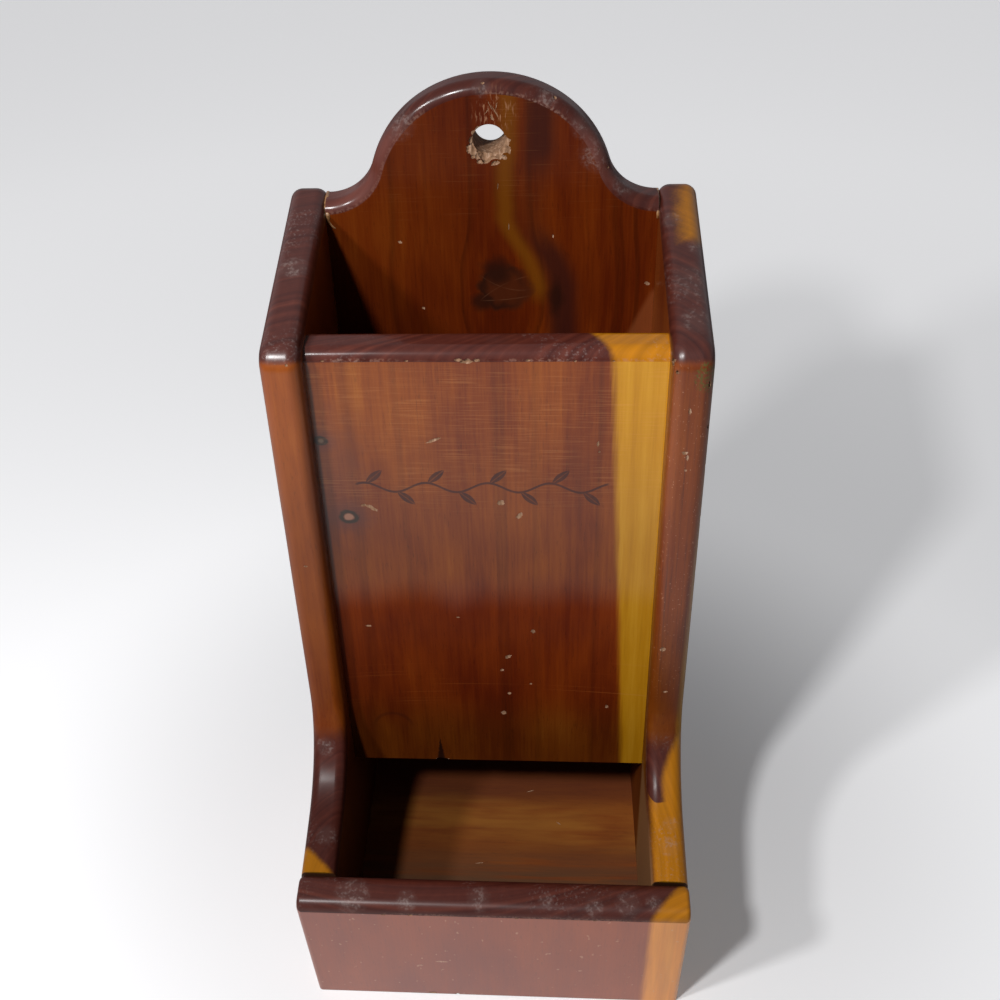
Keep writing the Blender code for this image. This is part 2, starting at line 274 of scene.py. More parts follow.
def cedar(name, axes, pith, marks, seed, shine, gloss, coat_ior=1.5, tone=(1.0, 1.0, 1.0), contrast=1.0,
          line_depth=0.10, end_from=(0.16, 0.42), knots=(), sapwood=None, scuffs=()):
    """Varnished cedar. axes turns X, Y and Z into places across, along and through the board.

    The growth rings run round the pith, a line beside the board, so the face and the end
    grain agree. Grain parts round each knot. sapwood gives how far a place is past the
    edge of the heartwood, and marks adds what only one board has. shine is for the face
    and for the end grain.
    """
    finish = Finish(name)
    across, along, through = axes(finish)
    drift = finish.speckle(across * 14 + seed, along * 5, through * 14) - 0.5
    bent = across + drift * 0.0020
    for at_across, at_along, reach, length in knots:
        side = bent - at_across
        slope = (along - at_along).squared() / length ** 2
        near = 1 / (1 + slope * slope)
        bent = at_across + side * (1 - near * reach ** 2 / (reach ** 2 + side * side))

    ring = ((bent - pith[0]).squared() + (through - pith[1]).squared()).root() + seed
    broad = finish.lines(ring * 90)
    fine = finish.lines(ring * 620 + drift * 2, detail=3.0)
    late = finish.lines(ring * 330 + 7).rise(0.56, 0.72)
    fibre = finish.speckle(across * 1700, along * 70, through * 1700, detail=3.0)
    vessel = finish.speckle(across * 3000, along * 330, through * 3000).rise(0.60, 0.72)
    cloud = finish.speckle(across * 60 + seed * 9, along * 22, through * 60, detail=3.0)
    tint = (broad - 0.5) * 0.40 + (fine - 0.5) * 0.25 + (fibre - 0.5) * 0.40 + (cloud - 0.5) * 0.95
    finish.colour = finish.ramp(0.5 + tint * contrast, HEARTWOOD)
    finish.shade((1 - late * line_depth) * (1 - vessel * 0.22), tone)

    past = None
    if sapwood:
        past = (sapwood(finish) + (broad - 0.5) * 0.0016 + (fibre - 0.5) * 0.0008).rise(-0.0012, 0.0012)
        pale = finish.ramp(0.5 + (fine - 0.5) * 0.5 + (fibre - 0.5) * 0.5 + (cloud - 0.5) * 0.5, SAPWOOD)
        finish.stain(past, finish.shaded(pale, 1 - late * 0.10, tone))
    finish.past = past

    # End grain drinks the varnish and goes dark: it is where the surface faces along the grain
    geometry = finish.tree.nodes.new("ShaderNodeNewGeometry")
    facing = finish.split(Value(finish, geometry.outputs["True Normal"]))
    smooth = finish.split(Value(finish, geometry.outputs["Normal"]))
    wide = axes(finish, facing)[2]
    wide_smooth = axes(finish, smooth)[2]
    up_smooth = axes(finish, smooth)[1]
    off_face = (1 - wide * wide).rise(0.002, 0.006)
    edge_up = abs(up_smooth) / (1.0001 - wide_smooth * wide_smooth).most(0.0001).root()
    end = off_face * (edge_up + (fibre - 0.5) * 0.15).rise(*end_from)
    pores = finish.speckle(across * 500, along * 500, through * 500, detail=4.0)
    dark = finish.ramp(fine * 0.75 + pores * 0.25, END_GRAIN)
    if sapwood:
        dark = finish.mix(past, dark, finish.shaded((*END_SAPWOOD, 1.0), 0.7 + fine * 0.6))
    finish.stain(end, dark)
    finish.end = end

    # Wear: rubbed edges, then dusty scuffs
    turned = 1 - wide_smooth * wide_smooth
    grit = finish.speckle(across * 1400, along * 1400, through * 1400, detail=3.0)
    rubbed = turned.rise(0.0005, 0.006) * turned.rise(0.12, 0.02)
    rubbed = rubbed * cloud.rise(0.44, 0.56) * grit.rise(0.42, 0.60)
    finish.stain(rubbed * 0.26, (0.34, 0.19, 0.14))
    patches = finish.speckle(across * 45, along * 45, through * 45).rise(0.50, 0.66)
    dust = grit.rise(0.52, 0.74) * patches * end * 0.6
    for place, radius in scuffs:
        apart = 0.0
        for here, there in zip((finish.x, finish.y, finish.z), place):
            apart = (here - there * MM).squared() + apart
        inside = (apart / (radius * MM) ** 2).rise(1.2, 0.0)
        dust = dust.most(inside * (0.12 + grit.rise(0.36, 0.70) * pores.rise(0.44, 0.58) * 0.75))
    finish.stain(dust * 0.42, SCUFF)
    finish.roughness = 0.50 + fibre * 0.10
    finish.coat = (shine[0] + end * (shine[1] - shine[0])) * (1 - dust * 0.4)
    marks(finish)
    finish.set(
        Base_Color=finish.colour, Roughness=finish.roughness, Coat_Weight=finish.coat, Coat_Roughness=gloss,
        Coat_IOR=coat_ior, Specular_IOR_Level=0.06)
    waves = finish.speckle(across * 60, along * 25, through * 60)
    finish.bump(fibre * 0.35 + late * 0.2 + grit * end * 0.5 + waves * 1.5, distance=0.00012, strength=0.30)
    return finish.material


def upright_back(finish, parts=None):
    """Grain up, face along X: the back board and the front panel."""
    x, y, z = parts or (finish.x, finish.y, finish.z)
    return x, z, y


def upright_side(finish, parts=None):
    """Grain up, face along Y: the two sides."""
    x, y, z = parts or (finish.x, finish.y, finish.z)
    return y, z, x


def leaning_lip(finish, parts=None):
    """Grain up the leaning lip: through is the depth behind its face."""
    x, y, z = parts or (finish.x, finish.y, finish.z)
    lean, upright = math.sin(LIP_LEAN), math.cos(LIP_LEAN)
    return x, z * upright - y * lean, y * upright + z * lean


def crosswise_floor(finish, parts=None):
    """Grain from side to side: the tray floor."""
    x, y, z = parts or (finish.x, finish.y, finish.z)
    return y, x, z


def oval(across, up, centre, size):
    """How far a place is from the centre of an oval, with 1 on its edge."""
    return ((across - centre[0]).squared() / size[0] ** 2 + (up - centre[1]).squared() / size[1] ** 2).root()


def spot(finish, across, up, centre, size):
    """1 inside an oval, 0 outside it, with a ragged edge."""
    ragged = finish.speckle(across * 900, up * 900, 0.0) * 0.8 + 0.6
    return (oval(across, up, centre, size) * ragged).rise(1.15, 0.85)


def soft(finish, across, up, centre, size):
    """1 at the centre of an oval, falling slowly to 0 at its edge."""
    wavy = finish.speckle(across * 260, up * 260, 2.0, detail=3.0) * 0.9 + 0.55
    return (oval(across, up, centre, size) * wavy).rise(1.2, 0.3)


def back_marks(finish):
    """The pale streak that runs down from the hole, the knot it bends round, and rub marks, with painted
    shade on the left, a painted sheen on the arch's flanks and painted light thrown back by the right side.
    """
    x, z = finish.x, finish.z
    face = 1 - finish.end
    # Painted shade: the left part of the board is darker
    finish.shade(1 - x.rise(0.012, -0.014) * 0.16)
    # Painted sheen: the end grain on the arch's flanks is made lighter
    painted_flank_sheen = finish.end * abs(x).rise(0.008, 0.020) * z.rise(0.226, 0.218)
    painted_flank_sheen = painted_flank_sheen * (z - x.rise(0, 0.01) * 0.006).rise(0.199, 0.205)
    finish.stain(painted_flank_sheen * 0.42, (0.185, 0.062, 0.048))
    middle = z.rise(0.208, 0.224) * 0.0010 + z.rise(0.2010, 0.1790) * 0.0084 + 0.0036
    middle = middle + (finish.lines(z * 75 + 3) - 0.5) * 0.0012
    fade = z.rise(0.1725, 0.1800)
    streak = abs(x - middle).rise(0.0038, 0.0002) * face * fade
    finish.stain(streak * 0.74, (0.135, 0.041, 0.0018))
    beside = abs(x - middle - 0.0060 - z.rise(0.200, 0.215) * 0.0016).rise(0.0060, 0.0010) * face
    beside = beside * (0.40 + abs(z - 0.203).rise(0.004, 0.015) * 0.60)
    finish.stain(beside * 0.86, (0.028, 0.0055, 0.0035))
    small_core = soft(finish, x, z, (0.0163, 0.1762), (0.0024, 0.0060)) * face
    finish.stain(small_core * 0.8, KNOT_CORE)

    # The knot: a dark broken rim, two black cores, and a brown middle
    across, up = x - KNOT[0], z - KNOT[1]
    wavy = finish.speckle(x * 240, z * 240, 8.0, detail=3.0) - 0.5
    distance = oval(x, z, KNOT, KNOT_SIZE) + wavy * 0.7
    inside = distance.rise(1.15, 0.85)
    rim = distance.rise(0.50, 0.88) * inside * ((up * 0.1 - across) / 0.006).rise(-1.3, 0.3)
    finish.stain(inside * 0.85, (0.050, 0.0105, 0.0030))
    dark = rim.most(soft(finish, x, z, (0.0012, 0.1838), (0.0046, 0.0048)))
    dark = dark.most(soft(finish, x, z, (-0.0028, 0.1752), (0.0034, 0.0036)))
    finish.stain(dark * 0.85, KNOT_CORE)
    for height, slope, bow in ((0.1757, 0.10, 9.0), (0.1792, -0.35, 40.0), (0.1802, 0.55, -30.0)):
        line = abs(up + KNOT[1] - height - across * slope - across.squared() * bow).rise(0.00020, 0.00005)
        finish.stain(line * inside * wavy.rise(-0.15, 0.12) * 0.13, (0.30, 0.13, 0.06))

    # Light thrown back by the right side, and rubbed fibres round the hole
    thrown = ((x - 0.0349) - (z - 0.1655) * 0.44).rise(-0.0008, 0.0012) * z.rise(0.1800, 0.1770)
    thrown = thrown * z.rise(0.155, 0.163) * finish.y.rise(0.0445, 0.0435)
    finish.stain(thrown * 0.50, (0.22, 0.060, 0.018))
    rub = finish.speckle(x * 1800, z * 380, 3.0).rise(0.52, 0.68)
    rub = rub * soft(finish, x, z, (0.0012, 0.2266), (0.0052, 0.0056))
    finish.stain(rub * 0.60, (0.40, 0.20, 0.11))
    across_lines = finish.speckle(x * 60, 1.0, z * 3200).rise(0.60, 0.72) * z.rise(0.192, 0.206) * face
    finish.stain(across_lines * 0.10, (0.40, 0.17, 0.06))
    finish.roughness += rub * 0.2
    finish.coat *= 1 - rub * 0.5


def panel_marks(finish):
    """Small ringed knots, cross scratches, a burnt sprig, and the dull part over the tray, with painted shade
    on it and a painted sheen above.
    """
    x, z = finish.x, finish.z
    finish.stain(soft(finish, x, z, (-0.0400, 0.1520), (0.0120, 0.0260)) * 0.40, PURPLE)
    for at_x, at_z, size, inner, middle in (
            (-0.0395, 0.1639, 0.0015, 0.5, (0.095, 0.060, 0.038)),
            (-0.0349, 0.1406, 0.0023, 0.6, (0.24, 0.11, 0.07))):
        distance = ((x - at_x).squared() + (z - at_z).squared() * 1.4).root() / size
        distance = distance * (finish.speckle(x * 500, z * 500, 1.0) * 0.6 + 0.70)
        finish.stain(distance.rise(3.6, 0.9) * 0.50, PURPLE)
        ring = distance.rise(1.3, 0.95) * distance.rise(inner - 0.2, inner + 0.15)
        finish.stain(distance.rise(inner + 0.15, inner - 0.2), middle)
        finish.stain(ring * 0.9, (0.020, 0.015, 0.010))

    # Cross scratches: short and close at the top, long and few at the bottom
    patchy = finish.speckle(x * 50, 2.0, z * 90).rise(0.30, 0.60)
    upper = z.rise(0.138, 0.152) * z.rise(0.1856, 0.184)
    short = finish.speckle(x * 85, 1.0, z * 2700).rise(0.48, 0.68) * patchy * upper
    lower = z.rise(0.070, 0.074) * z.rise(0.092, 0.086)
    long = finish.speckle(x * 10, 3.0, (z + x.squared() * 1.3) * 1500).rise(0.60, 0.68) * patchy * lower
    scratch = short * 0.55 + long
    finish.stain(scratch * 0.22, (0.60, 0.28, 0.10))

    # The check in the lower edge, under the faint knot
    check = abs(x - CHECK_ACROSS + (finish.lines(z * 900) - 0.5) * 0.0006) / (CHECK_TOP - z).most(0.0001)
    finish.stain(check.rise(0.17, 0.07) * 0.9, (0.012, 0.004, 0.003))
    faint = abs(oval(x, z, FAINT_KNOT, (1, 1)) - FAINT_KNOT_RADIUS).rise(0.0009, 0.0002)
    finish.stain(faint * z.rise(0.062, 0.067) * 0.35, (0.040, 0.008, 0.004))

    # The sprig: a waving stem with a leaf above and below it in turn
    middle = z - SPRIG_HEIGHT
    stem_height = ((x - SPRIG_START) * (2 * math.pi / SPRIG_WAVE)).sine() * STEM_SWING
    sprig = abs(middle - stem_height).rise(0.00048, 0.00020)
    for way, start in ((1, 0.0), (-1, SPRIG_WAVE / 2)):
        across = (x - SPRIG_START + start).within(SPRIG_WAVE) - SPRIG_WAVE * 0.42
        up = middle * way - 0.0033
        length = across * 0.72 + up * 0.70
        width = up * 0.72 - across * 0.70
        edge = LEAF_WIDTH - length.squared() * (LEAF_WIDTH / LEAF_LENGTH ** 2)
        blade = (edge - abs(width)).rise(0.0, 0.00018)
        vein = abs(width).rise(0.00006, 0.00022)
        sprig = sprig.most(blade * (0.50 + vein * 0.50))
    ends = x.rise(-0.0328, -0.0318) * x.rise(0.0292, 0.0282)
    burnt = sprig * ends * (finish.speckle(x * 300, z * 300, 5.0) * 0.5 + 0.58)
    finish.stain(burnt, BURNT)

    # Painted shade: the lower part is darker and redder, a painted sheen lightens the top, and the left is
    # darker than the right; the lower part is also dull
    finish.shade(0.93 + x.rise(-0.035, 0.030) * (0.15 - finish.past * 0.07))
    dim = 0.39 - z.rise(0.055, 0.100) * 0.15 - z.rise(0.100, 0.124) * 0.24
    finish.shade(0.94 - dim * (1 - finish.past * 0.65) + z.rise(0.124, 0.180) * 0.28)
    painted_shade_tint = z.rise(0.060, 0.080) * z.rise(0.124, 0.108) * (1 - finish.past)
    finish.stain(painted_shade_tint, finish.shaded(finish.colour, 1.0, (0.95, 0.60, 0.35)))
    line = z + (finish.speckle(x * 70, 1.0, 4.0, detail=3.0) - 0.5) * 0.014
    finish.coat *= line.rise(0.1085, 0.1205) * 0.60 + z.rise(0.118, 0.150) * 0.35 + 0.05
    finish.roughness += scratch * 0.2
    finish.coat *= 1 - scratch * 0.2


def side_marks(finish, top, foot, dull_from, hollow):
    """The front edge loses its shine and its lightness from the top down, with painted light at its top and
    painted shade at its foot, and the hollow is dull.
    """
    z = finish.z
    front = 1 - finish.end
    # Painted light at the top of the front edge, painted shade at its foot
    level = 1 + z.rise(0.130, 0.185) * front * top - z.rise(0.120, 0.085) * front * foot
    finish.shade(level)
    finish.coat *= 1 - (1 - z.rise(0.070, dull_from)) * front * 0.85
    finish.coat *= hollow + z.rise(0.076, 0.088).most(front) * (1 - hollow)


def inner_face(finish, hand):
    """1 on the inner face of the left side, hand -1, or of the right side, hand 1."""
    return (finish.x * hand).rise(INNER + 0.8 * MM, INNER + 0.1 * MM)


def bearing_face(finish):
    """1 on the end of a side that the lip is glued to, fading in below the rim, where a painted shadow line
    goes.
    """
    forward = (finish.y + finish.z * math.tan(LIP_LEAN) - LIP_BACK_FOOT - GLUE_LINE).rise(0.00025, 0.00010)
    return forward * finish.z.rise(RIM_HEIGHT, RIM_HEIGHT - MM)


def left_side_marks(finish):
    """Darker low down and on the inner face, as painted shade."""
    # Painted shade low down and on the inner face
    finish.shade(1 - finish.z.rise(0.064, 0.058) * 0.28 - inner_face(finish, -1) * 0.35)
    # Painted shadow line where the lip meets the side
    finish.stain(bearing_face(finish), PAINTED_LIP_SHADOW)
    side_marks(finish, top=0.28, foot=0.0, dull_from=0.185, hollow=0.22)


def right_side_marks(finish):
    """As the left one, with open grain and dust on the front edge, and a green stain at its top."""
    x, y, z = finish.x, finish.y, finish.z
    # Painted light across the middle of the front edge, and painted shade on the inner face
    finish.shade(
        1 + z.rise(0.085, 0.125) * z.rise(0.185, 0.150) * (1 - finish.end) * 0.14
        - inner_face(finish, 1) * 0.25)
    # Painted shadow line where the lip meets the side
    finish.stain(bearing_face(finish), PAINTED_LIP_SHADOW)
    worn = inner_face(finish, 1) * z.rise(0.056, 0.050) * y.rise(-0.003, -0.006)
    finish.stain(worn * 0.75, (0.25, 0.125, 0.055))
    side_marks(finish, top=0.12, foot=0.30, dull_from=0.125, hollow=0.45)
    edge = (1 - finish.end) * y.rise(-0.0045, -0.0075) * z.rise(0.078, 0.090)
    open_grain = finish.speckle(x * 1500, 1.0, z * 22, detail=3.0).rise(0.53, 0.68) * edge
    finish.stain(open_grain * 0.45, (0.045, 0.011, 0.006))
    specks = finish.speckle(x * 1900, y * 1900, z * 1300, detail=1.0).rise(0.66, 0.76) * edge
    finish.stain(specks * 0.35, (0.50, 0.30, 0.20))
    green = spot(finish, x, z, (0.0490, 0.1850), (0.0028, 0.0036))
    green = green * finish.speckle(x * 1500, z * 1500, 1.0).rise(0.42, 0.6) * y.rise(-0.002, -0.005)
    finish.stain(green * 0.7, (0.085, 0.090, 0.022))
    finish.coat *= 1 - green * 0.4


def lip_marks(finish):
    """A pale scratch, and fine pale flecks."""
    x, z = finish.x, finish.z
    face = 1 - finish.end
    scratch = soft(finish, x, z, (-0.0143, 0.0210), (0.0021, 0.0005))
    scratch = scratch * finish.speckle(x * 1800, z * 1800, 7.0).rise(0.35, 0.55)
    flecks = finish.speckle(x * 700, z * 420, finish.y * 700 + 9, detail=1.0).rise(0.70, 0.78)
    finish.stain(scratch.most(flecks * 0.5) * face * 0.75, (0.62, 0.40, 0.26))


def floor_marks(finish):
    """Redder at the rear, where painted shade lies under the panel, paler across the middle, lighter towards
    the right, and greyed towards the lip.
    """
    x, y = finish.x, finish.y
    pale = abs(y - 0.007 + x * 0.08).rise(0.0125, 0.002)
    pale = pale * finish.speckle(x * 40, y * 260, 1.0).rise(0.25, 0.70)
    finish.stain(pale * 0.55, (0.30, 0.115, 0.014))
    finish.shade(1 + x.rise(0.005, 0.036) * 0.14)
    # Painted shade under the panel, at the rear
    finish.stain(y.rise(0.011, 0.018) * 0.40, (0.055, 0.006, 0.004))
    greyed = y.rise(0.002, -0.018) * finish.speckle(x * 30, y * 420, 4.0).rise(0.20, 0.60)
    finish.stain(greyed * 0.80, (0.066, 0.033, 0.016))
    finish.stain(0.12, (0.120, 0.100, 0.070))


def panel_sapwood(finish):
    return finish.x + (finish.y - PANEL_FRONT) * 0.60 + (finish.z - 0.1825) * 0.048 - 0.0290


def lip_sapwood(finish):
    depth = leaning_lip(finish)[2] - LIP_FOOT * math.cos(LIP_LEAN)
    return finish.x - depth * 0.90 - 0.0411


def right_sapwood(finish):
    """Pale wood on the outer side: at the rear of the top, and from the front edge down to the rim."""
    x, y, z = finish.x, finish.y, finish.z
    cloud = finish.speckle(x * 130, y * 130, z * 130) - 0.5
    rear = (x - 0.0462).least(y - 0.0290) * 0.45 + cloud * 0.0022
    edge = ((z - 0.073) * 0.019 + 0.0493).least(((z - 0.0605) * 0.38).most(0) + 0.0456)
    edge = (edge - z.rise(0.0576, 0.0570) * 0.006).most(0.0420)
    return rear.most((x - edge).least((0.0 - y) * 0.5))


def left_sapwood(finish):
    """A small pale corner next to the lip."""
    return (-0.0360 - finish.y) - (finish.x + 0.0504) * 0.81 - finish.z.rise(0.046, 0.030) * 0.004


def make_raw_wood():
    finish = Finish("raw_cedar")
    grain = finish.speckle(finish.x * 1500, finish.y * 1500, finish.z * 300, detail=4.0)
    finish.set(
        Base_Color=finish.ramp(grain, RAW_WOOD), Roughness=0.75, Specular_IOR_Level=0.25)
    finish.bump(grain, distance=0.0002, strength=0.6)
    return finish.material


def make_glue():
    finish = Finish("squeezed_glue")
    cloud = finish.speckle(finish.x * 500, finish.y * 500, finish.z * 500, detail=3.0)
    finish.set(
        Base_Color=finish.ramp(cloud, [(0.3, (0.170, 0.070, 0.022)), (0.7, (0.340, 0.180, 0.075))]),
        Roughness=0.38, Coat_Weight=0.5, Coat_Roughness=0.15)
    finish.bump(cloud, distance=0.0002, strength=0.4)
    return finish.material


def make_brad_steel():
    finish = Finish("brad_steel")
    tarnish = finish.speckle(finish.x * 1200, finish.y * 1200, finish.z * 1200, detail=4.0)
    finish.set(
        Base_Color=finish.ramp(tarnish, [(0.35, (0.10, 0.07, 0.05)), (0.65, (0.34, 0.32, 0.30))]),
        Metallic=1.0, Roughness=0.35 + tarnish * 0.3)
    return finish.material


# Boards


def only(thing):
    """Selects one object, and makes it the active one."""
    bpy.ops.object.select_all(action="DESELECT")
    thing.select_set(True)
    bpy.context.view_layer.objects.active = thing


def joined(things):
    """Several objects as one, in the first of them."""
    only(things[0])
    for thing in things:
        thing.select_set(True)
    if len(things) > 1:
        bpy.ops.object.join()
    return things[0]


def modify(thing, kind, **settings):
    """Gives the active object a modifier, and applies it."""
    modifier = thing.modifiers.new(kind, kind)
    for name, value in settings.items():
        setattr(modifier, name, value)
    bpy.ops.object.modifier_apply(modifier=modifier.name)


def arc(centre, radius, start, end, segments):
    points = []
    for step in range(segments + 1):
        angle = start + (end - start) * step / segments
        points.append((centre[0] + radius * math.cos(angle), centre[1] + radius * math.sin(angle)))
    return points


def stepped(corners, step=0.006):
    """The closed outline with points added along its long straight runs."""
    points = []
    for index, corner in enumerate(corners):
        following = corners[(index + 1) % len(corners)]
        parts = max(1, round(math.dist(corner, following) / step))
        for part in range(parts):
            share = part / parts
            points.append(tuple(a + (b - a) * share for a, b in zip(corner, following)))
    return points


def sawn_board(name, outline, place, near, far):
    """A board sawn to an outline in (across, up), drawn out from near to far."""
    bpy.ops.mesh.primitive_circle_add(vertices=len(outline), fill_type="NGON")
    board = bpy.context.object
    board.name = board.data.name = name
    for corner, (across, up) in zip(board.data.vertices, outline):
        corner.co = place(across, up, near)
    bpy.ops.object.mode_set(mode="EDIT")
    bpy.ops.mesh.select_all(action="SELECT")
    bpy.ops.mesh.extrude_region_move(
        TRANSFORM_OT_translate={"value": place(0, 0, far) - place(0, 0, near)})
    bpy.ops.mesh.select_all(action="SELECT")
    bpy.ops.mesh.normals_make_consistent(inside=False)
    bpy.ops.object.mode_set(mode="OBJECT")
    return board


def pick_edges(board, wanted):
    """Leaves edit mode on, with only the edges chosen for which wanted(middle, way) is true."""
    only(board)
    bpy.ops.object.mode_set(mode="EDIT")
    bpy.ops.mesh.select_mode(type="EDGE")
    bpy.ops.mesh.select_all(action="DESELECT")
    shape = bmesh.from_edit_mesh(board.data)
    for edge in shape.edges:
        first, second = (corner.co for corner in edge.verts)
        if wanted((first + second) / 2, (second - first).normalized()):
            edge.select_set(True)
    bmesh.update_edit_mesh(board.data)


def ease(board, radius, wanted, segments=8):
    pick_edges(board, wanted)
    bpy.ops.mesh.bevel(
        offset=radius, offset_type="OFFSET", segments=segments, profile=0.5, affect="EDGES",
        clamp_overlap=False)
    bpy.ops.object.mode_set(mode="OBJECT")


def in_cells(board, plane, step=0.0125):
    """Cuts a board's wide faces into even cells, so that no small chip upsets a whole face."""
    only(board)
    low = [min(corner[axis] for corner in board.bound_box) for axis in range(3)]
    high = [max(corner[axis] for corner in board.bound_box) for axis in range(3)]
    bpy.ops.object.mode_set(mode="EDIT")
    for axis in plane:
        cuts = round((high[axis] - low[axis]) / step)
        for number in range(1, cuts):
            place, way = [0, 0, 0], [0, 0, 0]
            place[axis] = low[axis] + (high[axis] - low[axis]) * number / cuts
            way[axis] = 1
            bpy.ops.mesh.select_all(action="SELECT")
            bpy.ops.mesh.bisect(plane_co=place, plane_no=way)
    bpy.ops.object.mode_set(mode="OBJECT")


def frame_faces(board, area=0.0015, margin=0.0006):
    """A narrow flat border inside each wide face keeps its shine flat."""
    only(board)
    bpy.ops.object.mode_set(mode="EDIT")
    bpy.ops.mesh.select_mode(type="FACE")
    bpy.ops.mesh.select_all(action="DESELECT")
    shape = bmesh.from_edit_mesh(board.data)
    for face in shape.faces:
        face.select_set(face.calc_area() > area)
    bmesh.update_edit_mesh(board.data)
    bpy.ops.mesh.inset(thickness=margin, use_individual=True)
    bpy.ops.object.mode_set(mode="OBJECT")


def hand_worked(board, amount, plane, held):
    """Small slow unevenness of the outline, as from sanding by hand, within the board's plane.

    held(place) keeps a point where it is.
    """
    for corner in board.data.vertices:
        if held(corner.co):
            continue
        shift = noise.noise_vector(corner.co * 55)
        corner.co += Vector([along * free for along, free in zip(shift, plane)]) * amount


def gouge(place, size, turn=(0, 0, 0), rough=0.45, fineness=3):
    """A ragged lump that takes a chip out of a board where it stands."""
    bpy.ops.mesh.primitive_ico_sphere_add(subdivisions=fineness, radius=1)
    lump = bpy.context.object
    spin = (Matrix.Rotation(turn[2], 3, "Z") @ Matrix.Rotation(turn[1], 3, "Y")
            @ Matrix.Rotation(turn[0], 3, "X"))
    start = Vector(place) * 3100
    for corner in lump.data.vertices:
        way = corner.co.normalized()
        swell = 1 + rough * noise.noise(way * 2.3 + start) + rough * 0.5 * noise.noise(way * 6.1 + start)
        corner.co = Vector(place) + spin @ Vector([w * s * swell for w, s in zip(way, size)])
    return lump


def chip(place, size, turn=0):
    """A gouge in millimetres, turned in degrees on an upright face."""
    return gouge(scaled(*place), scaled(*size), (0, math.radians(turn), 0))


def varnish(board, wood, bare):
    """Varnished wood outside, and bare wood where it is chipped."""
    for material in (wood, bare):
        board.data.materials.append(material)


def cut_out(board, cutters):
    """Takes the cutters out of a board; the bared faces get its second material."""
    for cutter in cutters:
        for material in board.data.materials:
            cutter.data.materials.append(material)
        for face in cutter.data.polygons:
            face.material_index = 1
    tool = joined(cutters)
    only(board)
    modify(board, "BOOLEAN", operation="DIFFERENCE", solver="EXACT", use_self=True, object=tool)
    bpy.data.objects.remove(tool, do_unlink=True)


def polish(board):
    """Smooth faces, with a sharp edge round every chip."""
    only(board)
    modify(board, "TRIANGULATE", min_vertices=5)
    shape = bmesh.new()
    shape.from_mesh(board.data)
    for edge in shape.edges:
        kinds = {face.material_index for face in edge.link_faces}
        edge.smooth = len(kinds) < 2
    shape.to_mesh(board.data)
    shape.free()
    bpy.ops.object.shade_smooth_by_angle(angle=math.radians(32), keep_sharp_edges=True)
    modify(board, "WEIGHTED_NORMAL", keep_sharp=True, weight=90)


def stand_for(piece, node):
    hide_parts(node)
    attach(piece, "root")


def facing_y(across, up, through):
    return Vector((across, through, up))


def facing_x(across, up, through):
    return Vector((through, across, up))


def scaled(*numbers):
    return tuple(number * MM for number in numbers)


